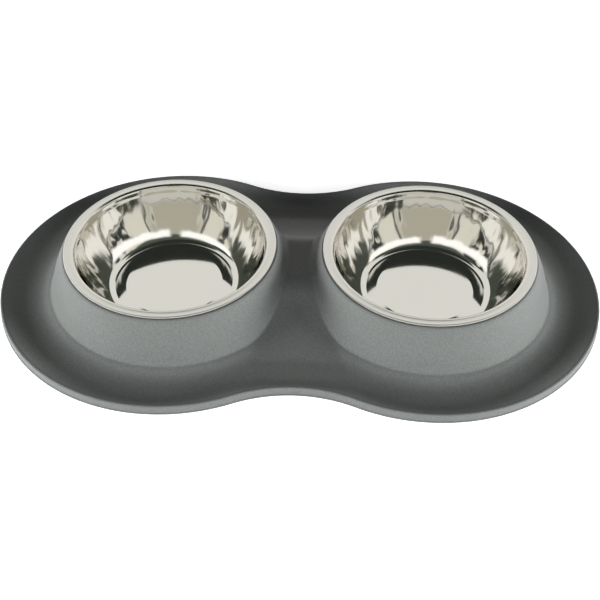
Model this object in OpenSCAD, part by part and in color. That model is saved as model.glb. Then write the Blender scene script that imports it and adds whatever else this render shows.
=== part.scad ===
// Double pet bowl: two steel bowls that hang by their rims in a one-piece silicone base.
// The base is a low mat with a raised lip, a hollow mound round each bowl
// and a saddle that joins the two mounds.
// Origin: middle of the base on the surface it stands on. X runs from bowl to bowl.

/* [Bowls] */
// Outside diameter over the rolled rim
rim_d = 141; // [110:1:180]
// Height of a bowl from its underside to the top of its rim
bowl_h = 36.6; // [32:0.1:60]
// Gap between the rims of the two bowls
rim_gap = 31; // [27:0.5:60]
// Width of the flange, from the rolled rim in to the wall
flange_w = 7.1; // [5:0.1:12]
// Thickness of the steel sheet
sheet = 0.7; // [0.5:0.1:1.2]
// Thickness of the rolled edge of the rim
bead_d = 1.5; // [1.2:0.1:3]
// Radius between wall and flange, on the upper side
corner_r = 2.5; // [1.5:0.1:4]
// Depth of the shallow dish along the flange
flange_cup = 0.2; // [0:0.05:0.5]
// Lean of the wall from upright at its top, in degrees
wall_lean = 14; // [2:0.5:18]
// Inside radius between wall and floor
toe_r = 6; // [5:0.5:12]
// Angle that the toe turns through before the wall sweeps up from it, in degrees
toe_turn = 46; // [38:1:58]
// Width of the level band of the floor, outside the raised disc
band_w = 1.2; // [0.5:0.1:6]
// Height of the raised disc above the band, at its edge
disc_rise = 2; // [0.5:0.1:2.5]
// Height of the middle of the raised disc above its edge
disc_dome = 0.8; // [0.1:0.1:1.5]
// Width of the slope round the raised disc
step_w = 7.3; // [4:0.1:8]

/* [Fits] */
// Clear height below a seated bowl
stand_gap = 0.3; // [0.1:0.1:2]
// Clearance between the rolled rim and the top of its mound
seat_gap = 0.3; // [0.1:0.05:0.6]
// Clearance round the bowl in the mouth of its mound
mouth_gap = 0.8; // [0.4:0.1:2]

/* [Mounds] */
// Width of the mound's top edge that shows outside the rim
shoulder_w = 1.1; // [0.5:0.1:4]
// Rounding of the mound's top edge
shoulder_r = 1; // [0.5:0.1:2]
// Lean of the upper wall from upright, in degrees
upper_lean = 25; // [15:1:30]
// Lean of the lower wall from upright, in degrees
lower_lean = 15.5; // [8:0.5:22]
// Height at which the wall gets steeper
knee_h = 20.5; // [14:0.5:24]
// Height at which the wall turns out into its ledge
foot_h = 8; // [6.5:0.5:11]
// Width of the ledge at the foot of the wall
ledge_w = 2.1; // [1:0.1:5]
// Height of the ledge
ledge_h = 6; // [4.5:0.1:6.4]
// Width of the skirt, from the ledge out to the floor of the mat
skirt_w = 16; // [8:0.5:18]
// Thickness of the walls of the base
wall_t = 3; // [2:0.1:4]

/* [Saddle] */
// Height of the saddle between the mounds
saddle_h = 26.5; // [20:0.5:28]
// Half width of its level top
saddle_flat = 14; // [8:0.5:20]
// Radius of its crest, front and back
crest_r = 26; // [15:0.5:30]
// Steepest slope of its sides, in degrees
saddle_slope = 38; // [30:1:45]
// Distance of its foot from the middle
saddle_foot = 73; // [66:0.5:78]
// Size of the blend into the mounds
saddle_blend = 12; // [4:0.5:18]

/* [Mat] */
// Distance from the rim of a bowl to the end of the mat
margin = 46.5; // [42:0.5:70]
// Radius of the hollow waist of the outline
waist_r = 93; // [60:1:160]
// Thickness of the floor of the mat
floor_t = 2.5; // [1.5:0.1:3.5]
// Height of the lip round the mat
lip_h = 6.5; // [5:0.1:12]
// Width of the level top of the lip
lip_top_w = 0.8; // [0.4:0.1:3]
// Rounding of the lip's outer edge
lip_r = 1; // [0.5:0.1:1.5]
// Width of the cove from the floor up to the lip
cove_w = 12; // [6:0.5:13]
// Distance that the outer wall leans out towards its bottom
draft_w = 0.6; // [0.2:0.1:2]
// Height of the middle of the fine groove round the outer wall
groove_z = 1.4; // [1:0.1:2]
// Height of the groove
groove_h = 0.7; // [0.4:0.1:0.9]
// Depth of the groove
groove_t = 0.4; // [0.1:0.1:0.8]
// Bevel of the bottom edge
bottom_bevel = 0.2; // [0.1:0.05:0.3]

/* [Hidden] */

// Steps of curves
DOME_STEPS = 5;
ARC_STEPS = 8;
END_STEPS = 32;
TURN_STEPS = 5;
WAIST_STEPS = 5;
SADDLE_STEPS = 24;
COVE_STEPS = 5;
EDGE_STEPS = 3;

// Cuts run past the faces they open by this much
overrun = 5;

// Heights and radii of a seated bowl
rim_r = rim_d / 2;
bead_r = bead_d / 2;
floor_z = stand_gap + sheet;
disc_z = floor_z + disc_rise;
rim_z = stand_gap + bowl_h;
bead_x = rim_r - bead_r;
mouth_r = rim_r - flange_w;
mouth_z = rim_z - corner_r * (1 - sin(wall_lean));
corner_x = mouth_r + corner_r * cos(wall_lean);
corner_z = rim_z - corner_r;
under_share = 1 - bead_r / (bead_x - corner_x);
toe_z = floor_z + toe_r * (1 - cos(toe_turn));
sweep_r = (mouth_z - toe_z) / (cos(toe_turn) - sin(wall_lean));
sweep_x = mouth_r - sweep_r * cos(wall_lean);
sweep_z = mouth_z + sweep_r * sin(wall_lean);
floor_r = sweep_x + (sweep_r - toe_r) * sin(toe_turn);
disc_r = floor_r - band_w - step_w;
step_slope = atan(disc_rise / step_w);
step_shift = sheet * tan(step_slope / 2);

// Places of the base
half_gap = rim_r + rim_gap / 2;
top_z = rim_z - bead_d - seat_gap;
bore_r = mouth_r + sheet + mouth_gap;
shoulder_x = rim_r + shoulder_w;
land_r = shoulder_x - shoulder_r * tan(45 - upper_lean / 2);
knee_x = shoulder_x + (top_z - knee_h) * tan(upper_lean);
foot_x = knee_x + (knee_h - foot_h) * tan(lower_lean);
ledge_x = foot_x + ledge_w;
end_r = rim_r + margin;
waist_y = sqrt(pow(end_r + waist_r, 2) - pow(half_gap, 2));
lip_w = draft_w + lip_r + lip_top_w + cove_w;
cove_r = (pow(cove_w, 2) + pow(lip_h - floor_t, 2)) / (2 * (lip_h - floor_t));

// Outer wall of a mound from the level top down to its ledge, as radius and height
function shoulder_point(a) = [
    land_r + shoulder_r * sin(a),
    top_z - shoulder_r * (1 - cos(a))
];
function upper_wall(z) = [shoulder_x + (top_z - z) * tan(upper_lean), z];
function lower_wall(z) = [knee_x + (knee_h - z) * tan(lower_lean), z];
shoulder_low_z = top_z - shoulder_r * (1 - sin(upper_lean));
upper_shares = [0.33, 0.67];
lower_shares = [0.15, 0.55, 1];
ledge_share = 0.6;
mound_wall = [
    for (i = [0 : EDGE_STEPS]) shoulder_point((90 - upper_lean) * i / EDGE_STEPS),
    for (s = upper_shares) upper_wall(shoulder_low_z + (knee_h - shoulder_low_z) * s),
    upper_wall(knee_h),
    for (s = lower_shares) lower_wall(knee_h + (foot_h - knee_h) * s),
    [foot_x + ledge_w * ledge_share, ledge_h + (foot_h - ledge_h) * (1 - ledge_share) / 2],
    [ledge_x, ledge_h]
];

// Skirt from the ledge out to the floor: it flattens as the cube of what is left of its width
SKIRT_STEPS = 6;
function skirt_point(s) = [
    ledge_x + skirt_w * s,
    floor_t + (ledge_h - floor_t) * pow(1 - s, 3)
];
skirt = [for (i = [1 : SKIRT_STEPS]) skirt_point(i / SKIRT_STEPS)];

// Height of a mound at a distance from its middle
mound_profile = concat([[0, top_z]], mound_wall, skirt);
function mound_height(r) = lookup(r, mound_profile);

// Section of the saddle: level top, round crest, then a hollow arc down to the floor
crest_y = saddle_flat + crest_r * sin(saddle_slope);
crest_z = saddle_h - crest_r * (1 - cos(saddle_slope));
flare_w = saddle_foot - crest_y;
foot_slope = 2 * atan((crest_z - floor_t) / flare_w) - saddle_slope;
flare_r = flare_w / (sin(saddle_slope) - sin(foot_slope));
function flare_drop(d) = flare_r * (cos(asin(sin(saddle_slope) - d / flare_r)) - cos(saddle_slope));
function saddle_height(y) =
    y < saddle_flat ? saddle_h
    : y < crest_y ? saddle_h - crest_r + sqrt(pow(crest_r, 2) - pow(y - saddle_flat, 2))
    : y < saddle_foot ? max(crest_z - flare_drop(y - crest_y), floor_t)
    : floor_t;

// The larger of two heights, with the corner between them filled over a width k
function blend(a, b, k) = max(a, b) + (k > 0 ? pow(max(k - abs(a - b), 0) / k, 2) * k / 4 : 0);

// Height of the base above the table, without its lip
function base_height(x, y) =
    let (
        mound = mound_height(norm([x - half_gap, y])),
        saddle = saddle_height(abs(y)),
        k = saddle_blend * (saddle - floor_t) / (saddle_h - floor_t)
    )
    x < half_gap ? min(blend(mound, saddle, k), top_z) : mound;

// Section of the lip: distance out from the start of the cove, and height
lip_section = [
    for (i = [1 : COVE_STEPS])
        let (d = cove_w * i / COVE_STEPS)
        [d, floor_t + cove_r - sqrt(pow(cove_r, 2) - pow(d, 2))],
    for (i = [0 : EDGE_STEPS])
        let (a = 90 * i / EDGE_STEPS)
        [cove_w + lip_top_w + lip_r * sin(a), lip_h - lip_r * (1 - cos(a))],
    [lip_w - draft_w / 2, groove_z + groove_h],
    [lip_w - groove_t, groove_z + groove_h / 2],
    [lip_w - groove_t, groove_z - groove_h / 2],
    [lip_w, groove_z - groove_h],
    [lip_w, bottom_bevel],
    [lip_w - bottom_bevel, 0]
];

// Rays of the right half, anticlockwise round its bowl from the waist in front.
// Each is the place where it meets the cove or the middle plane, and the way out from there.
function end_ray(a) = [half_gap + (end_r - lip_w) * cos(a), (end_r - lip_w) * sin(a), cos(a), sin(a)];
function waist_ray(a, side) = [
    (waist_r + lip_w) * cos(a),
    side * (waist_y - (waist_r + lip_w) * sin(a)),
    -cos(a),
    side * sin(a)
];
turn_a = atan2(waist_y, -half_gap);
waist_a = atan2(waist_y, half_gap);
saddle_y = waist_y - waist_r - lip_w;
edge_rays = [
    for (i = [0 : WAIST_STEPS - 1]) waist_ray(90 + (waist_a - 90) * i / WAIST_STEPS, -1),
    for (i = [0 : TURN_STEPS - 1]) end_ray(-turn_a + (turn_a - 90) * i / TURN_STEPS),
    for (i = [0 : END_STEPS - 1]) end_ray(180 * i / END_STEPS - 90),
    for (i = [0 : TURN_STEPS - 1]) end_ray(90 + (turn_a - 90) * i / TURN_STEPS),
    for (i = [0 : WAIST_STEPS]) waist_ray(waist_a + (90 - waist_a) * i / WAIST_STEPS, 1)
];
middle_rays = [
    for (i = [1 : SADDLE_STEPS - 1]) [0, saddle_y * (1 - 2 * i / SADDLE_STEPS), 0, 0]
];
rays = concat(edge_rays, middle_rays);
EDGE_RAYS = len(edge_rays);
RAYS = len(rays);

// Rings of the right half: the wall and ledge at their own radii, drawn in where a ray is short,
// then shares of the way out to the cove or the middle plane
NEAR_RINGS = len(mound_wall);
FAR_RINGS = 5;
RINGS = NEAR_RINGS + FAR_RINGS;
short_share = 0.93;
function skin_point(i, ray) =
    let (
        way = [ray[0] - half_gap, ray[1]],
        reach = norm(way),
        squeeze = min(1, short_share * (reach - land_r) / (ledge_x - land_r)),
        near = land_r + (mound_wall[min(i, NEAR_RINGS - 1)][0] - land_r) * squeeze,
        share = max(i - NEAR_RINGS + 1, 0) / FAR_RINGS,
        p = [half_gap, 0] + way * (near + (reach - near) * share) / reach
    )
    [p[0], p[1], i == 0 ? top_z : base_height(p[0], p[1])];
function lip_point(k, ray) =
    let (
        d = lip_section[k][0],
        p = [ray[0] + ray[2] * d, ray[1] + ray[3] * d]
    )
    [p[0], p[1], k < COVE_STEPS ? max(lip_section[k][1], base_height(p[0], p[1])) : lip_section[k][1]];
half_points = concat(
    [for (i = [0 : RINGS - 1]) for (ray = rays) skin_point(i, ray)],
    [for (k = [0 : len(lip_section) - 1]) for (ray = edge_rays) lip_point(k, ray)]
);
HALF_POINTS = len(half_points);
base_points = concat(half_points, [for (p = half_points) [-p[0], p[1], p[2]]]);

// Number of a point: ring i, ray j, side 0 right or 1 left.
// Points on the middle plane belong to both sides.
function on_middle(i, j) = j == 0 || j == EDGE_RAYS - 1 ? i >= RINGS - 1 : j >= EDGE_RAYS && i == RINGS - 1;
function point_number(i, j, side) =
    (i < RINGS ? i * RAYS + j : RINGS * RAYS + (i - RINGS) * EDGE_RAYS + j)
    + (side == 1 && !on_middle(i, j) ? HALF_POINTS : 0);
function quad(i, j, n, side) =
    let (
        a = point_number(i, j, side),
        b = point_number(i, n, side),
        c = point_number(i + 1, n, side),
        d = point_number(i + 1, j, side)
    )
    side == 0 ? [[a, b, c], [a, c, d]] : [[a, c, b], [a, d, c]];
LAST_RING = RINGS + len(lip_section) - 1;
// The flat underside is two faces, each drawn from the far end of its half
END_RAY = (EDGE_RAYS - 1) / 2;
base_faces = [
    for (side = [0, 1]) each [
        for (i = [0 : RINGS - 2]) for (j = [0 : RAYS - 1]) each quad(i, j, (j + 1) % RAYS, side),
        for (i = [RINGS - 1 : LAST_RING - 1]) for (j = [0 : EDGE_RAYS - 2]) each quad(i, j, j + 1, side)
    ],
    [for (j = [RAYS - 1 : -1 : 0]) point_number(0, j, 0)],
    [for (j = [0 : RAYS - 1]) point_number(0, j, 1)],
    [for (j = [0 : EDGE_RAYS - 1]) point_number(LAST_RING, (END_RAY + j) % EDGE_RAYS, 0)],
    [for (j = [0 : EDGE_RAYS - 1]) point_number(LAST_RING, (END_RAY - j + EDGE_RAYS) % EDGE_RAYS, 1)]
];

// Hollow under one mound, which follows the outer wall at the wall thickness
ceiling_z = top_z - wall_t;
wall_by_height = [for (p = mound_wall) [p[1], p[0]]];
module mound_hollow() {
    rotate_extrude()
        polygon(concat(
            [[0, -overrun], [ledge_x - wall_t, -overrun]],
            [for (i = [len(mound_wall) - 2 : -1 : 0])
                if (mound_wall[i][1] < ceiling_z) mound_wall[i] - [wall_t, 0]],
            [[lookup(ceiling_z, wall_by_height) - wall_t, ceiling_z], [0, ceiling_z]]
        ));
}

// Hollow under the saddle, from mound to mound
HOLLOW_STEPS = 12;
module saddle_hollow() {
    rotate([90, 0, 90])
        linear_extrude(height = half_gap, center = true)
            polygon(concat(
                [[-saddle_foot, -overrun]],
                [for (i = [-HOLLOW_STEPS : HOLLOW_STEPS])
                    let (y = saddle_foot * i / HOLLOW_STEPS)
                    [y, max(saddle_height(abs(y)) - wall_t, -overrun / 2)]],
                [[saddle_foot, -overrun]]
            ));
}

// Round mouth of a mound, which clears the bowl all round
module mouth() {
    translate([0, 0, ceiling_z - overrun])
        cylinder(r = bore_r, h = wall_t + 2 * overrun, $fn = 128);
}

module silicone_base() {
    color([0.36, 0.37, 0.37])
        difference() {
            polyhedron(points = base_points, faces = base_faces, convexity = 8);
            saddle_hollow();
            for (side = [-1, 1]) translate([side * half_gap, 0, 0]) {
                mound_hollow();
                mouth();
            }
        }
}

// Section of the sheet of a bowl, as radius and height
function dome_point(s, drop) = [disc_r * s, disc_z + disc_dome * (1 - s * s) - drop];
function toe_point(r, a) = [floor_r + r * sin(a), floor_z + toe_r - r * cos(a)];
function sweep_point(r, s) = let (a = toe_turn + (90 - wall_lean - toe_turn) * s)
    [sweep_x + r * sin(a), sweep_z - r * cos(a)];
function corner_point(r, a) = [corner_x - r * cos(a), corner_z + r * sin(a)];
function flange_point(s, drop) = [
    corner_x + (bead_x - corner_x) * s,
    rim_z - drop - flange_cup * sin(180 * s)
];
function bead_point(a) = [bead_x + bead_r * cos(a), rim_z - bead_r + bead_r * sin(a)];
bowl_section = concat(
    [for (i = [0 : DOME_STEPS]) dome_point(i / DOME_STEPS, 0)],
    [[disc_r + step_w, floor_z]],
    [for (i = [0 : ARC_STEPS]) toe_point(toe_r, toe_turn * i / ARC_STEPS)],
    [for (i = [1 : ARC_STEPS - 1]) sweep_point(sweep_r, i / ARC_STEPS)],
    [for (i = [0 : ARC_STEPS]) corner_point(corner_r, wall_lean + (90 - wall_lean) * i / ARC_STEPS)],
    [for (i = [1 : ARC_STEPS - 1]) flange_point(i / ARC_STEPS, 0)],
    [for (i = [0 : 2 * ARC_STEPS]) bead_point(90 - 270 * i / (2 * ARC_STEPS))],
    [for (i = [ARC_STEPS - 1 : -1 : 1]) flange_point(under_share * i / ARC_STEPS, sheet)],
    [for (i = [ARC_STEPS : -1 : 0])
        corner_point(corner_r - sheet, wall_lean + (90 - wall_lean) * i / ARC_STEPS)],
    [for (i = [ARC_STEPS - 1 : -1 : 1]) sweep_point(sweep_r + sheet, i / ARC_STEPS)],
    [for (i = [ARC_STEPS : -1 : 0]) toe_point(toe_r + sheet, toe_turn * i / ARC_STEPS)],
    [[disc_r + step_w - step_shift, stand_gap], [disc_r - step_shift, disc_z - sheet]],
    [for (i = [DOME_STEPS - 1 : -1 : 0]) dome_point(i / DOME_STEPS, sheet)]
);
module bowl(side) {
    color([0.82, 0.82, 0.8])
        translate([side * half_gap, 0, 0])
            rotate_extrude($fn = 128) polygon(bowl_section);
}
module bowl_left() { bowl(-1); }
module bowl_right() { bowl(1); }

silicone_base();
bowl_left();
bowl_right();
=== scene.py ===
"""Double pet bowl: a silicone mat with two mounds, each of which holds a steel bowl by its rim."""

import math

import bpy
import numpy as np
from bpy.props import FloatProperty, FloatVectorProperty, IntProperty, PointerProperty
from bpy.types import Operator, Panel, PropertyGroup
from mathutils import Matrix, Vector


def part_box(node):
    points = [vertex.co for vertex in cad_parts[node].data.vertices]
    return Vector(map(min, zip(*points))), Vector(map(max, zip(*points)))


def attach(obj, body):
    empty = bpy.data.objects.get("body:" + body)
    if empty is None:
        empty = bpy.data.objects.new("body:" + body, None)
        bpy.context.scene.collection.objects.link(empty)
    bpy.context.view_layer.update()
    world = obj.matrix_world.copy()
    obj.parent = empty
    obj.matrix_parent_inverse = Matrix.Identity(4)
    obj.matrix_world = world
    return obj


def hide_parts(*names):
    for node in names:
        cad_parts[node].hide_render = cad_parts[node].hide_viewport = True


bl_info = {
    "name": "Double Pet Bowl",
    "version": (1, 0, 0),
    "blender": (4, 5, 0),
    "location": "View3D > Sidebar > Pet Bowl",
    "description": "Builds a silicone feeding mat with two lift-out steel bowls",
    "category": "Add Mesh",
}

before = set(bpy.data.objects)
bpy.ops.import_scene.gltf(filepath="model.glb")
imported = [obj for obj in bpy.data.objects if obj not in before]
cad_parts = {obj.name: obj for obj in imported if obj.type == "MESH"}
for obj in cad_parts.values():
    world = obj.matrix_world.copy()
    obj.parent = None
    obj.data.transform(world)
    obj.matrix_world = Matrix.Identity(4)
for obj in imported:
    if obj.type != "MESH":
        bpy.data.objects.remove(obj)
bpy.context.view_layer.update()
_, BASE_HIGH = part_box("silicone_base")
BOWL_LOW, BOWL_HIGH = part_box("bowl_right")

MM = 0.001

# Places that the solids settle: bowls, tops and outline
HALF_GAP = (BOWL_LOW.x + BOWL_HIGH.x) / 2
RIM_RADIUS = (BOWL_HIGH.x - BOWL_LOW.x) / 2
RIM_Z = BOWL_HIGH.z
STAND_GAP = BOWL_LOW.z
TOP_Z = BASE_HIGH.z
END_RADIUS = BASE_HIGH.x - HALF_GAP


def length(name, value_mm, text):
    """A size in the panel, given in millimetres and kept in metres."""
    return FloatProperty(name=name, description=text, default=value_mm * MM, unit="LENGTH", precision=5)


def angle(name, degrees, text):
    """An angle in the panel, given in degrees and kept in radians."""
    return FloatProperty(name=name, description=text, default=math.radians(degrees), subtype="ANGLE")


def colour(name, value, text):
    """A colour in the panel."""
    return FloatVectorProperty(name=name, description=text, default=value, subtype="COLOR", min=0, max=1)


class MatSettings(PropertyGroup):
    """Sizes and colours of the silicone base."""

    bore_radius: length("Mouth radius", 64.9, "Radius of the round mouth of a mound")
    shoulder_width: length("Shoulder", 1.1, "Width of the top edge that shows outside the rim")
    shoulder_round: length("Shoulder rounding", 2.2, "Width over which the top edge is rounded")
    upper_lean: angle("Upper lean", 25, "Lean of the upper wall from upright")
    lower_lean: angle("Lower lean", 15.5, "Lean of the lower wall from upright")
    knee_height: length("Knee height", 20.5, "Height at which the wall gets steeper")
    knee_round: length("Knee rounding", 3, "Height over which the wall gets steeper")
    foot_height: length("Foot height", 8, "Height at which the wall turns out into its ledge")
    foot_round: length("Foot rounding", 4.5, "Height over which the wall turns into the ledge")
    ledge_round: length("Ledge rounding", 1.2, "Height over which the ledge turns into the skirt")
    ledge_width: length("Ledge width", 2.1, "Width of the ledge at the foot of the wall")
    ledge_height: length("Ledge height", 6, "Height of the ledge")
    skirt_width: length("Skirt width", 16, "Width of the skirt from the ledge to the floor")
    wall: length("Wall", 3, "Thickness of the walls of the base")
    saddle_height: length("Saddle height", 26.5, "Height of the saddle between the mounds")
    saddle_flat: length("Saddle flat", 14, "Half width of the level top of the saddle")
    crest_radius: length("Crest radius", 26, "Radius of the crest, front and back")
    saddle_slope: angle("Saddle slope", 38, "Steepest slope of the sides of the saddle")
    saddle_foot: length("Saddle foot", 73, "Distance of the foot of the saddle from the middle")
    saddle_blend: length("Saddle blend", 12, "Size of the blend into the mounds")
    waist_radius: length("Waist radius", 93, "Radius of the hollow waist of the outline")
    floor: length("Floor", 2.5, "Thickness of the floor of the mat")
    lip_height: length("Lip height", 6.5, "Height of the lip")
    lip_top: length("Lip top", 0.8, "Width of the level top of the lip")
    lip_round: length("Lip rounding", 1, "Rounding of the lip's outer edge")
    cove: length("Cove", 12, "Width of the cove from the floor up to the lip")
    draft: length("Draft", 0.6, "Distance that the outer wall leans out")
    groove_height: length("Groove height", 1.4, "Height of the middle of the groove")
    groove_width: length("Groove width", 0.7, "Width of the groove round the outer wall")
    groove_depth: length("Groove depth", 0.4, "Depth of the groove round the outer wall")
    bevel: length("Bevel", 0.2, "Bevel of the bottom edge")
    shade: colour("Silicone", (0.111, 0.118, 0.114), "Colour of the silicone")


class BowlSettings(PropertyGroup):
    """Sizes and colours of the steel bowls."""

    flange: length("Flange", 7.1, "Width of the flange from the rolled rim to the wall")
    sheet: length("Sheet", 0.7, "Thickness of the steel sheet")
    bead: length("Bead", 1.5, "Thickness of the rolled edge of the rim")
    corner: length("Corner", 2.5, "Radius between wall and flange")
    cup: length("Cup", 0.2, "Depth of the dish along the flange")
    lean: angle("Lean", 14, "Lean of the wall from upright, at its top")
    toe: length("Toe", 6, "Inside radius between wall and floor")
    toe_turn: angle("Toe turn", 46, "Angle through which the toe turns before the wall takes over")
    band: length("Floor band", 1.2, "Width of the level band of the floor, outside the raised disc")
    rise: length("Disc height", 2, "Height of the raised disc above the band, at its edge")
    dome: length("Disc dome", 0.8, "Height of the middle of the raised disc above its edge")
    step: length("Slope width", 7.3, "Width of the slope round the raised disc")
    edge_round: length("Disc rounding", 4, "Rounding between the disc and its slope")
    foot_round: length("Slope foot rounding", 2, "Rounding between the slope and the band")
    turns: IntProperty(name="Steps", description="Steps round a bowl", default=256, min=24)
    shade: colour("Steel", (0.80, 0.785, 0.75), "Colour of the polished steel")


class StudioSettings(PropertyGroup):
    """Floor, lamps and camera."""

    floor_size: length("Floor", 6000, "Width of the floor")
    floor_shade: colour("Floor colour", (0.9, 0.9, 0.9), "Colour of the floor")
    azimuth: angle("Azimuth", 1.57, "Direction of the camera round the object")
    elevation: angle("Elevation", 43.6, "Height of the camera above the horizon")
    roll: angle("Roll", -0.49, "Roll of the camera")
    distance: length("Distance", 679.9, "Distance of the camera from its target")
    target_x: length("Target X", 0.906, "Place that the camera looks at, along X")
    target_y: length("Target Y", -12.59, "Place that the camera looks at, along Y")
    lens: FloatProperty(name="Lens", description="Focal length for a 36 mm sensor", default=60.06)


class Value:
    """A socket of a node tree, with sums written as Python expressions."""

    def __init__(self, kit, socket):
        self.kit = kit
        self.socket = socket

    def __add__(self, other):
        return self.kit.math("ADD", self, other)

    __radd__ = __add__

    def __mul__(self, other):
        return self.kit.math("MULTIPLY", self, other)

    __rmul__ = __mul__

    def __sub__(self, other):
        return self.kit.math("SUBTRACT", self, other)

    def __rsub__(self, other):
        return self.kit.math("SUBTRACT", other, self)

    def __truediv__(self, other):
        return self.kit.math("DIVIDE", self, other)

    def __lt__(self, other):
        return self.kit.math("LESS_THAN", self, other)


class Kit:
    """Adds nodes to a tree, for materials, the world and geometry alike."""

    def __init__(self, tree):
        self.tree = tree

    def node(self, kind, settings=None, **inputs):
        """Adds a node of a type, with its settings first and then the values or links of its sockets."""
        made = self.tree.nodes.new(kind)
        for name, value in (settings or {}).items():
            setattr(made, name, value)
        for name, value in inputs.items():
            self.feed(self.find_input(made, name), value)
        return made

    @staticmethod
    def find_input(node, name):
        """The input named like a keyword: Base_Color is Base Color, and in0 is the first one."""
        if name.startswith("in") and name[2:].isdigit():
            return node.inputs[int(name[2:])]
        return node.inputs[name.replace("_", " ")]

    def feed(self, socket, value):
        if isinstance(value, Value):
            value = value.socket
        if isinstance(value, bpy.types.NodeSocket):
            self.tree.links.new(value, socket)
        else:
            socket.default_value = value

    def out(self, node, name=0):
        return Value(self, node.outputs[name])

    def math(self, operation, *values, clamp=False):
        inputs = {f"in{i}": v for i, v in enumerate(values)}
        return self.out(self.node("ShaderNodeMath", {"operation": operation, "use_clamp": clamp}, **inputs))

    def clamp(self, value):
        return self.math("ADD", value, 0.0, clamp=True)

    def minimum(self, a, b):
        return self.math("MINIMUM", a, b)

    def maximum(self, a, b):
        return self.math("MAXIMUM", a, b)

    def smooth_max(self, a, b, k):
        """The larger value, with the corner between the two filled over a width k."""
        near = self.maximum(k - self.math("ABSOLUTE", a - b), 0.0) / k
        return self.maximum(a, b) + near * near * k * 0.25

    def smooth_min(self, a, b, k):
        near = self.maximum(k - self.math("ABSOLUTE", a - b), 0.0) / k
        return self.minimum(a, b) - near * near * k * 0.25

    def vector(self, operation, a, b, name=0):
        return self.out(self.node("ShaderNodeVectorMath", {"operation": operation}, in0=a, in1=b), name)

    def xyz(self, vector):
        parts = self.node("ShaderNodeSeparateXYZ", in0=vector)
        return [self.out(parts, i) for i in range(3)]

    def mix(self, factor, a, b):
        """A colour between two colours."""
        made = self.node("ShaderNodeMix", {"data_type": "RGBA"})
        self.feed(made.inputs[0], factor)
        for socket, value in ((made.inputs[6], a), (made.inputs[7], b)):
            self.feed(socket, value if isinstance(value, Value) else (*value, 1.0))
        return Value(self, made.outputs[2])

    def noise(self, vector, scale, detail=2.0, rough=0.5):
        made = self.node("ShaderNodeTexNoise", Vector=vector, Scale=scale, Detail=detail, Roughness=rough)
        return self.out(made, 0)

    def ramp(self, value, low, high):
        """0 below low, 1 above high, smooth between."""
        made = self.node("ShaderNodeMapRange", {"interpolation_type": "SMOOTHSTEP"})
        for socket, v in zip(made.inputs, (value, low, high, 0.0, 1.0)):
            self.feed(socket, v)
        return self.out(made, 0)


def new_material(name):
    """An empty node material and its kit."""
    material = bpy.data.materials.new(name)
    material.use_nodes = True
    material.node_tree.nodes.clear()
    return material, Kit(material.node_tree)


def finish_material(kit, shader):
    kit.node("ShaderNodeOutputMaterial", Surface=shader.outputs[0])


def object_place(kit):
    return kit.out(kit.node("ShaderNodeTexCoord"), "Object")


# Silicone: scales of its patterns, share by which its tone varies, and its smoothest roughness
CLOUD_SCALE = 18.0
SPECK_SCALE = 900.0
GRAIN_SCALE = 2600.0
TONE_SPREAD = 0.16
SILICONE_ROUGHNESS = 0.42


def silicone_finish(shade):
    """Matt moulded silicone: a fine grain, faint cloudiness and a little dust."""
    material, kit = new_material("silicone")
    place = object_place(kit)
    cloud = kit.noise(place, CLOUD_SCALE, 3.0)
    speck = kit.noise(place, SPECK_SCALE, 2.0)
    grain = kit.noise(place, GRAIN_SCALE, 2.0, 0.6)
    dark = tuple(c * (1 - TONE_SPREAD) for c in shade)
    light = tuple(c * (1 + TONE_SPREAD) for c in shade)
    tone = kit.mix(kit.clamp(cloud * 0.4 + kit.ramp(speck, 0.35, 0.65) * 0.6), dark, light)
    bump = kit.node("ShaderNodeBump", Strength=0.35, Distance=0.1 * MM, Height=grain * 0.6 + speck)
    shader = kit.node(
        "ShaderNodeBsdfPrincipled",
        Base_Color=tone,
        Roughness=SILICONE_ROUGHNESS + cloud * 0.08 + speck * 0.04,
        Normal=kit.out(bump),
        Sheen_Weight=0.1,
        Sheen_Roughness=0.3,
        Specular_IOR_Level=0.34,
    )
    finish_material(kit, shader)
    return material


# Steel: scales of its patterns, how far the polishing rings are stretched, and the height of its bump
RING_SCALE = 60.0
RING_ACROSS = 60.0
RING_ROUND = 0.25
SMEAR_SCALE = 30.0
WAVE_SCALE = 26.0
WRINKLE_SCALE = 6.0
WRINKLE_UP = 8.0
STEEL_BUMP = 0.6 * MM

# Roughness of the polish, and what the rings, the smears and the satin flange add to it
POLISHED = 0.05
RING_DULLNESS = 0.04
SMEAR_DULLNESS = 0.04
SATIN_DULLNESS = 0.24


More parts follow.
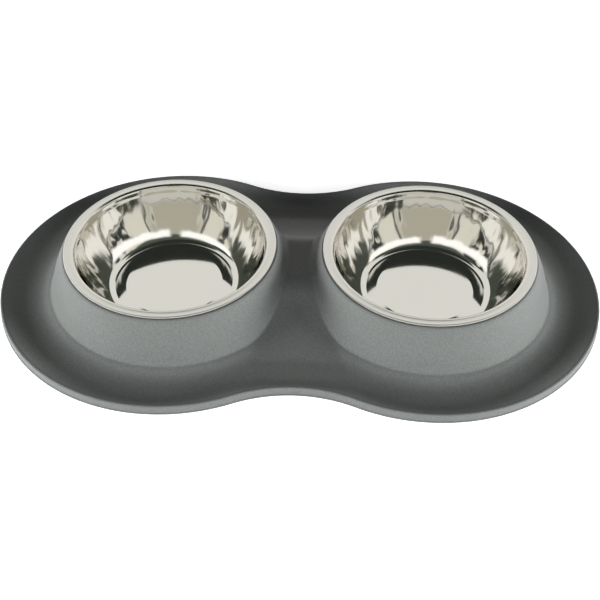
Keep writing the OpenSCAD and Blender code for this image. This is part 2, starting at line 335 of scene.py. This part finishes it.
def steel_finish(shade):
    """Polished stainless steel: polishing rings, faint smears, a satin flange and a slightly uneven wall."""
    material, kit = new_material("polished_steel")
    place = object_place(kit)
    x, y, z = kit.xyz(place)
    local_x = kit.math("ABSOLUTE", x) - HALF_GAP
    radius = kit.math("SQRT", local_x * local_x + y * y)
    around = kit.math("ARCTAN2", y, local_x) * RING_ROUND
    flat = kit.node("ShaderNodeCombineXYZ", X=radius * RING_ACROSS, Y=z * RING_ACROSS, Z=around)
    rings = kit.noise(kit.out(flat), RING_SCALE, 3.0, 0.7)
    smear = kit.noise(place, SMEAR_SCALE, 3.0, 0.6)
    tone = kit.mix(kit.clamp(smear * 0.8), tuple(c * 0.96 for c in shade), shade)
    rim_level = kit.ramp(z, RIM_Z - 2 * MM, RIM_Z - 1 * MM)
    satin = kit.ramp(radius, RIM_RADIUS - 6.2 * MM, RIM_RADIUS - 4.6 * MM) * rim_level
    turned = kit.node("ShaderNodeCombineXYZ", X=local_x / radius, Y=y / radius, Z=z * WRINKLE_UP)
    past_floor = kit.ramp(radius, 46 * MM, 56 * MM)
    below_rim = 1.0 - kit.ramp(z, RIM_Z - 6 * MM, RIM_Z - 3 * MM)
    wrinkle = kit.noise(kit.out(turned), WRINKLE_SCALE, 1.0) * past_floor * below_rim
    wave = kit.noise(place, WAVE_SCALE, 1.0) * 0.4 + wrinkle
    bump = kit.node("ShaderNodeBump", Strength=1.0, Distance=STEEL_BUMP, Height=wave + rings * 0.003)
    dull = rings * RING_DULLNESS + kit.ramp(smear, 0.45, 0.75) * SMEAR_DULLNESS + satin * SATIN_DULLNESS
    shader = kit.node(
        "ShaderNodeBsdfPrincipled",
        Base_Color=tone,
        Metallic=1.0,
        Roughness=POLISHED + dull,
        Normal=kit.out(bump),
    )
    finish_material(kit, shader)
    return material


def rounded_path(corners, steps=6):
    """A path through corners of (across, up, rounding), with an arc at each corner that has a rounding."""
    path = []
    for i, (x, z, radius) in enumerate(corners):
        here = np.array([x, z])
        if radius <= 0 or i in (0, len(corners) - 1):
            path.append(here)
            continue
        before = np.array(corners[i - 1][:2]) - here
        after = np.array(corners[i + 1][:2]) - here
        before, after = before / np.linalg.norm(before), after / np.linalg.norm(after)
        half = math.acos(np.clip(before @ after, -1, 1)) / 2
        centre = here + (before + after) / np.linalg.norm(before + after) * radius / math.sin(half)
        start, end = here + before * radius / math.tan(half), here + after * radius / math.tan(half)
        a = math.atan2(*(start - centre)[::-1])
        turn = (math.atan2(*(end - centre)[::-1]) - a + math.pi) % (2 * math.pi) - math.pi
        for s in range(steps + 1):
            t = a + turn * s / steps
            path.append(centre + radius * np.array([math.cos(t), math.sin(t)]))
    return np.array(path)


def mesh_object(name, points, faces=(), edges=()):
    mesh = bpy.data.meshes.new(name)
    mesh.from_pydata([tuple(map(float, p)) for p in points], list(edges), list(faces))
    made = bpy.data.objects.new(name, mesh)
    bpy.context.scene.collection.objects.link(made)
    return made


def geometry_tree(name, sizes):
    """A Geometry Nodes tree with a geometry in and out and one number for each named size."""
    tree = bpy.data.node_groups.new(name, "GeometryNodeTree")
    tree.interface.new_socket("Geometry", in_out="INPUT", socket_type="NodeSocketGeometry")
    tree.interface.new_socket("Geometry", in_out="OUTPUT", socket_type="NodeSocketGeometry")
    for size in sizes:
        kind = "NodeSocketInt" if isinstance(sizes[size], int) else "NodeSocketFloat"
        tree.interface.new_socket(size, in_out="INPUT", socket_type=kind)
    kit = Kit(tree)
    source = kit.node("NodeGroupInput")
    return kit, {socket.name: Value(kit, socket) for socket in source.outputs if socket.name}


def end_tree(kit, geometry, material):
    """Realize Instances, Set Material and the way out."""
    real = kit.node("GeometryNodeRealizeInstances", in0=geometry)
    painted = kit.node("GeometryNodeSetMaterial", Geometry=kit.out(real), Material=material)
    kit.node("NodeGroupOutput", in0=kit.out(painted))


def run_tree(made, tree, sizes):
    """Puts a tree on an object, sets its sizes, and turns the result into a plain mesh."""
    modifier = made.modifiers.new(tree.name, "NODES")
    modifier.node_group = tree
    for item in tree.interface.items_tree:
        if item.item_type == "SOCKET" and item.in_out == "INPUT" and item.name in sizes:
            modifier[item.identifier] = sizes[item.name]
    graph = bpy.context.evaluated_depsgraph_get()
    plain = bpy.data.meshes.new_from_object(made.evaluated_get(graph))
    made.modifiers.remove(modifier)
    made.data = plain
    plain.name = made.name
    plain.shade_smooth()


# Steps of the plan of the base: round its outline, and along the middle plane
END_STEPS = 150
TURN_STEPS = 12
WAIST_STEPS = 16
SADDLE_STEPS = 80

# Points outwards from the mouth: top edge, shoulder, upper wall, lower wall, ledge, skirt and cove
LAND_POINTS = 5
SHOULDER_POINTS = 12
UPPER_POINTS = 10
LOWER_POINTS = 9
LEDGE_POINTS = 10
SKIRT_POINTS = 19
COVE_STEPS = 14

# Distance of the extra ring that keeps the shading beside a corner crisp
CORNER_GAP = 0.4 * MM

# Largest share that a mound's wall takes of the way from its shoulder to the cove or the middle
WALL_SHARE = 0.96

# Roundings of the groove: at its edges, and inside it
GROOVE_EDGE = 0.15 * MM
GROOVE_INSIDE = 0.12 * MM


def plan_rays(s):
    """Rays of the right half round its bowl: where each meets the cove or the middle, and the way out."""
    lip = s.draft + s.lip_round + s.lip_top + s.cove
    waist_y = math.sqrt((END_RADIUS + s.waist_radius) ** 2 - HALF_GAP**2)
    turn = math.atan2(waist_y, -HALF_GAP)
    waist = math.atan2(waist_y, HALF_GAP)
    quarter = math.pi / 2

    def end_ray(a):
        r = END_RADIUS - lip
        return HALF_GAP + r * math.cos(a), r * math.sin(a), math.cos(a), math.sin(a)

    def waist_ray(a, side):
        r = s.waist_radius + lip
        return r * math.cos(a), side * (waist_y - r * math.sin(a)), -math.cos(a), side * math.sin(a)

    edge = [waist_ray(a, -1) for a in np.linspace(quarter, waist, WAIST_STEPS + 1)[:-1]]
    edge += [end_ray(a) for a in np.linspace(-turn, -quarter, TURN_STEPS + 1)[:-1]]
    edge += [end_ray(a) for a in np.linspace(-quarter, quarter, END_STEPS + 1)[:-1]]
    edge += [end_ray(a) for a in np.linspace(quarter, turn, TURN_STEPS + 1)[:-1]]
    edge += [waist_ray(a, 1) for a in np.linspace(waist, quarter, WAIST_STEPS + 1)]
    end_y = waist_y - s.waist_radius - lip
    middle = [(0.0, y, 0.0, 0.0) for y in np.linspace(end_y, -end_y, SADDLE_STEPS + 1)[1:-1]]
    return np.array(edge), np.array(edge + middle), lip


def wall_sizes(s):
    """Radii of the shoulder, knee, foot and ledge of a mound."""
    shoulder = RIM_RADIUS + s.shoulder_width
    knee = shoulder + (TOP_Z - s.knee_height) * math.tan(s.upper_lean)
    foot = knee + (s.knee_height - s.foot_height) * math.tan(s.lower_lean)
    return shoulder, knee, foot, foot + s.ledge_width


def lip_path(s, lip):
    """Section of the lip, from the cove over the top and down to the underside: distance out and height."""
    rise = s.lip_height - s.floor
    cove_radius = (s.cove**2 + rise**2) / (2 * rise)
    out = np.linspace(0, s.cove, COVE_STEPS + 1)[1:]
    cove = np.column_stack([out, s.floor + cove_radius - np.sqrt(cove_radius**2 - out**2)])
    top = s.groove_height + s.groove_width / 2
    low = s.groove_height - s.groove_width / 2
    side = s.draft / 2
    over = lip - side * 0.75
    inside = lip - s.groove_depth - side * 0.4
    corners = [
        (s.cove, s.lip_height, 0),
        (s.cove + s.lip_top + s.lip_round * 0.95, s.lip_height, s.lip_round * 0.9),
        (lip - side * 1.15, top + s.groove_width * 0.95, GROOVE_EDGE),
        (over, top + s.groove_width * 0.6, GROOVE_EDGE),
        (over, top, GROOVE_EDGE),
        (inside, top - s.groove_width * 0.2, GROOVE_INSIDE),
        (inside, low, GROOVE_INSIDE),
        (lip, low - s.groove_width * 0.3, 0.2 * MM),
        (lip, s.bevel, 0.1 * MM),
        (lip - s.bevel, 0, 0),
    ]
    return np.vstack([cove, rounded_path(corners, 5)[1:]])


def base_plan(s):
    """Plan of the base: rings of points for the right half, from the mouth over the lip to the hollow.
    The height rule raises the points marked skin, under and hollow, and leaves those marked side alone."""
    edge, rays, lip = plan_rays(s)
    shoulder, knee, foot, ledge = wall_sizes(s)
    bowl = np.array([HALF_GAP, 0.0])
    way = rays[:, :2] - bowl
    reach = np.linalg.norm(way, axis=1)
    way /= reach[:, None]
    land = shoulder - s.shoulder_round
    past_shoulder = shoulder + s.shoulder_round * 0.6
    near = np.concatenate([
        np.linspace(s.bore_radius, land, LAND_POINTS)[:-1],
        np.linspace(land, past_shoulder, SHOULDER_POINTS)[:-1],
        np.linspace(past_shoulder, knee, UPPER_POINTS)[:-1],
        np.linspace(knee, foot - CORNER_GAP, LOWER_POINTS)[:-1],
        np.linspace(foot - CORNER_GAP, ledge, LEDGE_POINTS),
    ])
    squeeze = np.minimum(1, WALL_SHARE * (reach - shoulder) / (ledge - shoulder))
    far = np.linspace(0, 1, SKIRT_POINTS)[1:]
    rings = []

    def add(points, z, kind, whole=True):
        z = np.broadcast_to(z, (len(points),))
        rings.append((np.column_stack([points, z]), kind, whole))

    def squeezed(radius):
        return radius + np.where(radius > shoulder, (radius - shoulder) * (squeeze - 1), 0)

    for radius in near:
        add(bowl + way * squeezed(radius)[:, None], 0.0, "skin")
    last = squeezed(ledge)
    for share in far:
        add(bowl + way * (last + (reach - last) * share)[:, None], 0.0, "skin")
    for out, z in lip_path(s, lip):
        add(edge[:, :2] + edge[:, 2:] * out, z, "side", False)
    inner = squeezed(ledge) - s.wall
    for share in far[::-1]:
        add(bowl + way * (inner + (reach - inner) * share)[:, None], 0.0, "under")
    for radius in near[::-1]:
        if shoulder < radius <= ledge:
            add(bowl + way * (squeezed(radius) - s.wall)[:, None], 0.0, "hollow")
    ceiling = TOP_Z - s.wall
    for radius in np.linspace(shoulder - s.wall, s.bore_radius + CORNER_GAP, 3):
        add(bowl + way * radius, ceiling, "side")
    add(bowl + way * s.bore_radius, ceiling + CORNER_GAP, "side")
    add(bowl + way * s.bore_radius, TOP_Z - CORNER_GAP, "side")
    return rings, len(edge), len(rays)


def base_mesh(s):
    """The plan of the right half as a mesh object, with marks for the height rule."""
    rings, edges, rays = base_plan(s)
    starts = np.cumsum([0] + [len(points) for points, _, _ in rings])
    points = np.vstack([points for points, _, _ in rings])
    faces = []
    count = len(rings)
    for i in range(count):
        n = (i + 1) % count
        whole = rings[i][2] and rings[n][2]
        for j in range(rays if whole else edges - 1):
            k = (j + 1) % rays if whole else j + 1
            a, b = starts[i] + j, starts[n] + j
            c, d = starts[n] + k, starts[i] + k
            faces.append((a, b, c, d))
    made = mesh_object("silicone_mat", points, faces)
    for kind in ("skin", "under", "hollow"):
        marks = np.concatenate([np.full(len(p), float(k == kind)) for p, k, _ in rings])
        layer = made.data.attributes.new(kind, "FLOAT", "POINT")
        layer.data.foreach_set("value", marks.astype(np.float32))
    return made


def mound_height(kit, n, r):
    """Height of the outside of a mound at a distance from its middle."""
    shoulder = RIM_RADIUS + n["Shoulder"]
    upper = TOP_Z - (r - shoulder) / kit.math("TANGENT", n["Upper lean"])
    knee = shoulder + (TOP_Z - n["Knee height"]) * kit.math("TANGENT", n["Upper lean"])
    lower = n["Knee height"] - (r - knee) / kit.math("TANGENT", n["Lower lean"])
    foot = knee + (n["Knee height"] - n["Foot height"]) * kit.math("TANGENT", n["Lower lean"])
    ledge = foot + n["Ledge width"]
    left = kit.maximum(1.0 - (r - ledge) / n["Skirt width"], 0.0)
    skirt = n["Floor"] + (n["Ledge height"] - n["Floor"]) * left * left * left
    skirt = kit.smooth_min(skirt, n["Ledge height"], n["Ledge rounding"])
    wall = kit.smooth_min(upper, lower, n["Knee rounding"])
    wall = kit.smooth_min(wall, TOP_Z, n["Shoulder rounding"])
    return kit.smooth_max(wall, skirt, n["Foot rounding"])


def saddle_height(kit, n, y):
    """Height of the saddle at a distance in front of or behind the middle."""
    slope = n["Saddle slope"]
    crest_y = n["Saddle flat"] + n["Crest radius"] * kit.math("SINE", slope)
    crest_z = n["Saddle height"] - n["Crest radius"] * (1.0 - kit.math("COSINE", slope))
    width = n["Saddle foot"] - crest_y
    foot_slope = 2.0 * kit.math("ARCTANGENT", (crest_z - n["Floor"]) / width) - slope
    flare = width / (kit.math("SINE", slope) - kit.math("SINE", foot_slope))
    over = kit.maximum(y - n["Saddle flat"], 0.0)
    over = kit.minimum(over, crest_y - n["Saddle flat"])
    drop = n["Crest radius"] - kit.math("SQRT", n["Crest radius"] * n["Crest radius"] - over * over)
    crest = n["Saddle height"] - drop
    along = kit.minimum(kit.maximum(y - crest_y, 0.0), width)
    tilt = kit.math("SINE", slope) - along / flare
    fall = flare * (kit.math("SQRT", 1.0 - tilt * tilt) - kit.math("COSINE", slope))
    return kit.maximum(crest - fall, n["Floor"])


# Points nearer than this become one: where the two halves of the base meet, and on the axis of a bowl
SEAM_GAP = 1e-6
AXIS_GAP = 2e-6


def mat_tree(s, material):
    """Raises the plan of the base by the height rule, and mirrors it to the other half."""
    sizes = {
        "Shoulder": s.shoulder_width,
        "Shoulder rounding": s.shoulder_round,
        "Upper lean": s.upper_lean,
        "Lower lean": s.lower_lean,
        "Knee height": s.knee_height,
        "Knee rounding": s.knee_round,
        "Foot height": s.foot_height,
        "Foot rounding": s.foot_round,
        "Ledge rounding": s.ledge_round,
        "Ledge width": s.ledge_width,
        "Ledge height": s.ledge_height,
        "Skirt width": s.skirt_width,
        "Floor": s.floor,
        "Wall": s.wall,
        "Saddle height": s.saddle_height,
        "Saddle flat": s.saddle_flat,
        "Crest radius": s.crest_radius,
        "Saddle slope": s.saddle_slope,
        "Saddle foot": s.saddle_foot,
        "Saddle blend": s.saddle_blend,
    }
    kit, n = geometry_tree("mat_height", sizes)
    x, y, z = kit.xyz(kit.out(kit.node("GeometryNodeInputPosition")))
    off = x - HALF_GAP
    r = kit.math("SQRT", off * off + y * y)
    saddle = saddle_height(kit, n, kit.math("ABSOLUTE", y))
    inward = off < 0.0
    fill = kit.maximum(n["Saddle blend"] * (saddle - n["Floor"]) / (n["Saddle height"] - n["Floor"]), 1e-6)
    mound = mound_height(kit, n, r)
    joined = kit.minimum(kit.smooth_max(mound, saddle, fill), TOP_Z)
    skin_z = mound + inward * (joined - mound)
    roof = kit.maximum((saddle - n["Wall"]) * inward, 0.0)
    under_z = kit.maximum(z, roof)
    shell = kit.minimum(mound_height(kit, n, r + n["Wall"]), TOP_Z - n["Wall"])
    hollow_z = kit.maximum(shell, roof)
    marks = {}
    for mark in ("skin", "under", "hollow"):
        named = kit.node("GeometryNodeInputNamedAttribute", {"data_type": "FLOAT"}, Name=mark)
        marks[mark] = kit.out(named, 0)
    on_top = marks["skin"] * (skin_z - z)
    underneath = marks["under"] * (under_z - z)
    height = z + on_top + underneath + marks["hollow"] * (hollow_z - z)
    place = kit.out(kit.node("ShaderNodeCombineXYZ", X=x, Y=y, Z=height))
    raised = kit.node("GeometryNodeSetPosition", Geometry=n["Geometry"], Position=place)
    mirrored = kit.node("GeometryNodeTransform", Geometry=kit.out(raised), Scale=(-1.0, 1.0, 1.0))
    turned = kit.node("GeometryNodeFlipFaces", Mesh=kit.out(mirrored))
    both = kit.node("GeometryNodeJoinGeometry")
    for half in (raised, turned):
        kit.tree.links.new(half.outputs[0], both.inputs[0])
    merged = kit.node("GeometryNodeMergeByDistance", Geometry=kit.out(both), Distance=SEAM_GAP)
    end_tree(kit, kit.out(merged), material)
    return kit.tree, sizes


# Points along the section of a bowl's sheet
DOME_POINTS = 13
TOE_POINTS = 17
WALL_POINTS = 22
CORNER_POINTS = 13
CUP_POINTS = 14
ROLL_POINTS = 25

# Share of the raised disc that is domed, and the degrees at which the rolled edge starts and ends
DOME_SHARE = 0.96
ROLL_TURN = (90, -178)


def bowl_section(s):
    """Section of a bowl's sheet, from the middle of its floor out to the rim and back: radius and height."""
    floor_z = STAND_GAP + s.sheet
    disc_z = floor_z + s.rise
    bead = s.bead / 2
    bead_x = RIM_RADIUS - bead
    mouth = RIM_RADIUS - s.flange
    corner_x = mouth + s.corner * math.cos(s.lean)
    corner_z = RIM_Z - s.corner
    mouth_z = corner_z + s.corner * math.sin(s.lean)
    rise = mouth_z - floor_z - s.toe * (1 - math.cos(s.toe_turn))
    sweep = rise / (math.cos(s.toe_turn) - math.sin(s.lean))
    sweep_x = mouth - sweep * math.cos(s.lean)
    sweep_z = mouth_z + sweep * math.sin(s.lean)
    floor_radius = sweep_x + (sweep - s.toe) * math.sin(s.toe_turn)
    disc = floor_radius - s.band - s.step
    turn = math.pi / 2 - s.lean

    def sheet_side(depth):
        """One side of the sheet, from the middle to the rim: 0 is the upper side."""
        shift = depth * math.tan(math.atan(s.rise / s.step) / 2)
        share = np.linspace(0, DOME_SHARE, DOME_POINTS)
        dome = np.column_stack([disc * share, disc_z + s.dome * (1 - share**2) - depth])
        slope = [
            (*dome[-1], 0),
            (disc - shift, disc_z - depth, s.edge_round - depth),
            (disc + s.step - shift, floor_z - depth, s.foot_round + depth),
            (floor_radius - 0.1 * MM, floor_z - depth, 0),
        ]
        a = np.linspace(0, s.toe_turn, TOE_POINTS)
        toe = np.column_stack([
            floor_radius + (s.toe + depth) * np.sin(a),
            floor_z + s.toe - (s.toe + depth) * np.cos(a),
        ])
        a = np.linspace(s.toe_turn, turn, WALL_POINTS)[1:-1]
        wall = np.column_stack([
            sweep_x + (sweep + depth) * np.sin(a),
            sweep_z - (sweep + depth) * np.cos(a),
        ])
        a = np.linspace(s.lean, math.pi / 2, CORNER_POINTS)
        corner = np.column_stack([
            corner_x - (s.corner - depth) * np.cos(a),
            corner_z + (s.corner - depth) * np.sin(a),
        ])
        reach = bead_x - corner_x - (bead if depth else 0)
        share = np.linspace(0, reach / (bead_x - corner_x), CUP_POINTS)[1:-1]
        cup = np.column_stack([
            corner_x + (bead_x - corner_x) * share,
            RIM_Z - depth - s.cup * np.sin(math.pi * share) ** 0.8,
        ])
        return np.vstack([dome[:-1], rounded_path(slope), toe, wall, corner, cup])

    a = np.radians(np.linspace(*ROLL_TURN, ROLL_POINTS))
    roll = np.column_stack([bead_x + bead * np.cos(a), RIM_Z - bead + bead * np.sin(a)])
    return np.vstack([sheet_side(0), roll, sheet_side(s.sheet)[::-1]])


def turning_tree(turns, material):
    """Turns a section, given as points in the XZ plane, round the upright axis of a bowl."""
    sizes = {"Steps": turns, "Middle": 0.0}
    kit, n = geometry_tree("bowl_turning", sizes)
    count = kit.out(kit.node("GeometryNodeAttributeDomainSize", Geometry=n["Geometry"]), "Point Count")
    columns = n["Steps"] + 1
    grid = kit.node("GeometryNodeMeshGrid", Size_X=1.0, Size_Y=1.0, Vertices_X=count, Vertices_Y=columns)
    index = kit.out(kit.node("GeometryNodeInputIndex"))
    point = kit.math("FLOOR", (index + 0.25) / columns)
    step = index - point * columns
    position = kit.out(kit.node("GeometryNodeInputPosition"))
    sample = kit.node(
        "GeometryNodeSampleIndex",
        {"data_type": "FLOAT_VECTOR", "domain": "POINT"},
        Geometry=n["Geometry"],
        Value=position,
        Index=point,
    )
    r, _, z = kit.xyz(kit.out(sample))
    turn = step * (2 * math.pi) / n["Steps"]
    across = r * kit.math("COSINE", turn) + n["Middle"]
    place = kit.node("ShaderNodeCombineXYZ", X=across, Y=r * kit.math("SINE", turn), Z=z)
    turned = kit.node("GeometryNodeSetPosition", Geometry=kit.out(grid), Position=kit.out(place))
    merged = kit.node("GeometryNodeMergeByDistance", Geometry=kit.out(turned), Distance=AXIS_GAP)
    end_tree(kit, kit.out(merged), material)
    return kit.tree, sizes


def face_outwards(made):
    """Turns the faces of a closed mesh the right way out if its volume comes out negative."""
    mesh = made.data
    mesh.calc_loop_triangles()
    points = np.array([v.co for v in mesh.vertices])
    corners = np.array([t.vertices for t in mesh.loop_triangles])
    a, b, c = (points[corners[:, i]] for i in range(3))
    if np.einsum("ij,ij->i", a, np.cross(b, c)).sum() < 0:
        mesh.flip_normals()


class PETBOWL_OT_mat(Operator):
    """Build the silicone base with its mounds, saddle and lip"""

    bl_idname = "petbowl.mat"
    bl_label = "Silicone Mat"

    def execute(self, context):
        settings = context.scene.petbowl_mat
        made = base_mesh(settings)
        material = silicone_finish(tuple(settings.shade))
        tree, sizes = mat_tree(settings, material)
        run_tree(made, tree, sizes)
        face_outwards(made)
        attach(made, "base")
        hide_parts("silicone_base")
        return {"FINISHED"}


class PETBOWL_OT_bowls(Operator):
    """Build the two steel bowls"""

    bl_idname = "petbowl.bowls"
    bl_label = "Steel Bowls"

    def execute(self, context):
        settings = context.scene.petbowl_bowl
        material = steel_finish(tuple(settings.shade))
        tree, sizes = turning_tree(settings.turns, material)
        section = bowl_section(settings)
        points = [(r, 0.0, z) for r, z in section]
        edges = [(i, i + 1) for i in range(len(points) - 1)]
        for name, side in (("bowl_left", -1), ("bowl_right", 1)):
            made = mesh_object("steel_" + name, points, edges=edges)
            run_tree(made, tree, {**sizes, "Middle": side * HALF_GAP})
            face_outwards(made)
            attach(made, name)
            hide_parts(name)
        return {"FINISHED"}


# Low lamps round the object: name, place, width and height, and watts
LAMPS = (
    ("left", (-1.85, -0.5, 0.28), (1.0, 0.4), 80),
    ("right", (1.85, -0.5, 0.28), (1.0, 0.4), 80),
    ("front", (0, -2.0, 0.36), (1.6, 0.3), 32),
    ("back", (0, 2.0, 0.30), (1.6, 0.3), 14),
)
LAMP_TARGET = Vector((0, 0, 0.02))


def soft_lamp(name, place, size, power):
    """A large soft lamp that looks at the object and doesn't show in any gloss."""
    data = bpy.data.lights.new(name, "AREA")
    data.shape = "RECTANGLE"
    data.size, data.size_y = size
    data.energy = power
    lamp = bpy.data.objects.new(name, data)
    lamp.location = place
    lamp.visible_glossy = False
    lamp.rotation_euler = (LAMP_TARGET - Vector(place)).to_track_quat("-Z", "Y").to_euler()
    bpy.context.scene.collection.objects.link(lamp)


# Colours of the room that the polished steel mirrors
DARK_ROOM = (0.030, 0.036, 0.031)
GREEN_SIDES = (0.085, 0.10, 0.08)
STREAK_DARK = (0.04, 0.046, 0.04)
STREAK_PALE = (0.86, 0.84, 0.74)
CREAM_WALL = (0.82, 0.80, 0.70)
OLIVE_WALL = (0.50, 0.48, 0.39)
UPRIGHT = (0.12, 0.13, 0.12)
WHITE_BAND = (1.3, 1.3, 1.27)
BACK_PANEL = (0.86, 0.86, 0.82)
TABLE_LINE = (0.80, 0.80, 0.77)

# Streaks at the sides of that room
STREAK_SCALE = 4.5
STREAK_STRETCH = (1.0, 1.0, 1.4)

# Light that everything else gets: low down from the front and the back, and from overhead
FRONT_GLOW = (0.35, 0.35, 0.35)
BACK_GLOW = (0.02, 0.02, 0.02)
OVERHEAD = (0.02, 0.021, 0.02)


def studio_world():
    """Surroundings: white to the camera, a low glow from the front to the silicone, and a simple room to
    the polished steel. The room has a pale panel behind the object, a white band that sinks towards the
    sides, streaked sides, a cream and an olive wall with a dark upright, and a pale line of table."""
    world = bpy.data.worlds.new("studio")
    world.use_nodes = True
    world.node_tree.nodes.clear()
    kit = Kit(world.node_tree)
    place = kit.out(kit.node("ShaderNodeTexCoord"), "Generated")
    x, y, z = kit.xyz(place)
    level = kit.math("SQRT", x * x + y * y)
    height = kit.math("ARCTAN2", z, level)
    aside = kit.math("ABSOLUTE", kit.math("ARCTAN2", x, y))

    def past(value, angle, edge):
        """0 before an angle in degrees and 1 past it, with a soft edge."""
        return kit.ramp(value, math.radians(angle - edge), math.radians(angle + edge))

    def between(value, low, high, edge):
        """1 between two angles in degrees and 0 outside them, with soft edges."""
        return past(value, low, edge) * (1.0 - past(value, high, edge))

    off_front = math.pi - aside
    band_foot = math.radians(35) - off_front * off_front * 0.11
    band_top = band_foot + math.radians(10)
    white_band = between(aside, 60, 171, 4) * kit.ramp(height - band_foot, -0.02, 0.04)
    white_band = white_band * kit.ramp(band_top - height, -0.04, 0.04)
    back_panel = (1.0 - past(aside, 68, 4)) * between(height, 3, 58, 2)
    side_room = (1.0 - past(height, 60, 3)) * past(aside, 68, 5)
    below_band = between(height, 1, 40, 2) * past(aside, 55, 4)
    streaks = kit.noise(kit.vector("MULTIPLY", place, STREAK_STRETCH), STREAK_SCALE, 2.0)
    seen = kit.mix(side_room, DARK_ROOM, GREEN_SIDES)
    seen = kit.mix(below_band, seen, kit.mix(kit.ramp(streaks, 0.53, 0.59), STREAK_DARK, STREAK_PALE))
    seen = kit.mix(below_band * past(aside, 114, 3), seen, CREAM_WALL)
    seen = kit.mix(below_band * past(aside, 146, 3), seen, OLIVE_WALL)
    seen = kit.mix(below_band * between(aside, 140, 144, 1), seen, UPRIGHT)
    seen = kit.mix(white_band, seen, WHITE_BAND)
    seen = kit.mix(back_panel, seen, BACK_PANEL)
    seen = kit.mix(past(height, 5, 3), TABLE_LINE, seen)
    low_light = kit.mix(kit.ramp(y, -0.3, 0.5), FRONT_GLOW, BACK_GLOW)
    lit = kit.mix(past(height, 15, 11), low_light, OVERHEAD)
    light_path = kit.node("ShaderNodeLightPath")
    both = kit.mix(kit.out(light_path, "Is Glossy Ray"), lit, seen)
    final = kit.mix(kit.out(light_path, "Is Camera Ray"), both, (1.0, 1.0, 1.0))
    background = kit.node("ShaderNodeBackground", Color=final, Strength=1.0)
    kit.node("ShaderNodeOutputWorld", Surface=background.outputs[0])
    bpy.context.scene.world = world


# Strength at which the floor glows to the camera and in gloss, on top of the light on it
FLOOR_GLOW = 0.75


def floor_finish(shade):
    """Pale floor that looks white to the camera and keeps a faint shadow."""
    material, kit = new_material("studio_floor")
    diffuse = kit.node("ShaderNodeBsdfDiffuse", Color=(*shade, 1.0), Roughness=0.0)
    glow = kit.node("ShaderNodeEmission", Color=(1.0, 1.0, 1.0, 1.0), Strength=FLOOR_GLOW)
    light_path = kit.node("ShaderNodeLightPath")
    camera_ray = kit.out(light_path, "Is Camera Ray")
    glossy_ray = kit.out(light_path, "Is Glossy Ray")
    seen = kit.clamp(camera_ray + glossy_ray)
    black = kit.node("ShaderNodeEmission", Strength=0.0)
    added = kit.node("ShaderNodeMixShader", in0=seen, in1=black.outputs[0], in2=glow.outputs[0])
    both = kit.node("ShaderNodeAddShader", in0=diffuse.outputs[0], in1=added.outputs[0])
    finish_material(kit, both)
    return material


def photo_camera(s):
    """Camera at the place that the photograph was taken from."""
    data = bpy.data.cameras.new("camera")
    data.sensor_width = 36.0
    data.lens = s.lens
    data.clip_start, data.clip_end = 0.01, 100.0
    camera = bpy.data.objects.new("camera", data)
    forward = -Vector(
        (
            math.sin(s.azimuth) * math.cos(s.elevation),
            -math.cos(s.azimuth) * math.cos(s.elevation),
            math.sin(s.elevation),
        )
    )
    right = forward.cross(Vector((0, 0, 1))).normalized()
    down = forward.cross(right)
    level_right = math.cos(s.roll) * right + math.sin(s.roll) * down
    level_down = -math.sin(s.roll) * right + math.cos(s.roll) * down
    place = Vector((s.target_x, s.target_y, 0)) - forward * s.distance
    turned = Matrix((level_right, -level_down, -forward)).transposed()
    camera.matrix_world = Matrix.Translation(place) @ turned.to_4x4()
    bpy.context.scene.collection.objects.link(camera)
    bpy.context.scene.camera = camera


class PETBOWL_OT_studio(Operator):
    """Build the floor, the lamps, the surroundings and the camera"""

    bl_idname = "petbowl.studio"
    bl_label = "Studio"

    def execute(self, context):
        s = context.scene.petbowl_studio
        half = s.floor_size / 2
        corners = [(-half, -half, 0), (half, -half, 0), (half, half, 0), (-half, half, 0)]
        ground = mesh_object("studio_floor", corners, [(0, 1, 2, 3)])
        ground.data.materials.append(floor_finish(tuple(s.floor_shade)))
        studio_world()
        for lamp in LAMPS:
            soft_lamp(*lamp)
        photo_camera(s)
        scene = context.scene
        scene.view_settings.view_transform = "Standard"
        return {"FINISHED"}


OPERATORS = (PETBOWL_OT_mat, PETBOWL_OT_bowls, PETBOWL_OT_studio)


class PETBOWL_PT_panel(Panel):
    """Steps that build the double pet bowl, with their sizes"""

    bl_label = "Pet Bowl"
    bl_idname = "PETBOWL_PT_panel"
    bl_space_type = "VIEW_3D"
    bl_region_type = "UI"
    bl_category = "Pet Bowl"

    def draw(self, context):
        for step in OPERATORS:
            self.layout.operator(step.bl_idname)
        for group in ("petbowl_mat", "petbowl_bowl", "petbowl_studio"):
            settings = getattr(context.scene, group)
            box = self.layout.box()
            for name in settings.__annotations__:
                box.prop(settings, name)


GROUPS = {"petbowl_mat": MatSettings, "petbowl_bowl": BowlSettings, "petbowl_studio": StudioSettings}
CLASSES = (*GROUPS.values(), *OPERATORS, PETBOWL_PT_panel)


def register():
    for item in CLASSES:
        bpy.utils.register_class(item)
    for name, group in GROUPS.items():
        setattr(bpy.types.Scene, name, PointerProperty(type=group))


def unregister():
    for name in GROUPS:
        delattr(bpy.types.Scene, name)
    for item in reversed(CLASSES):
        bpy.utils.unregister_class(item)


def main():
    register()
    bpy.ops.petbowl.mat()
    bpy.ops.petbowl.bowls()
    bpy.ops.petbowl.studio()


if __name__ == "__main__":
    main()
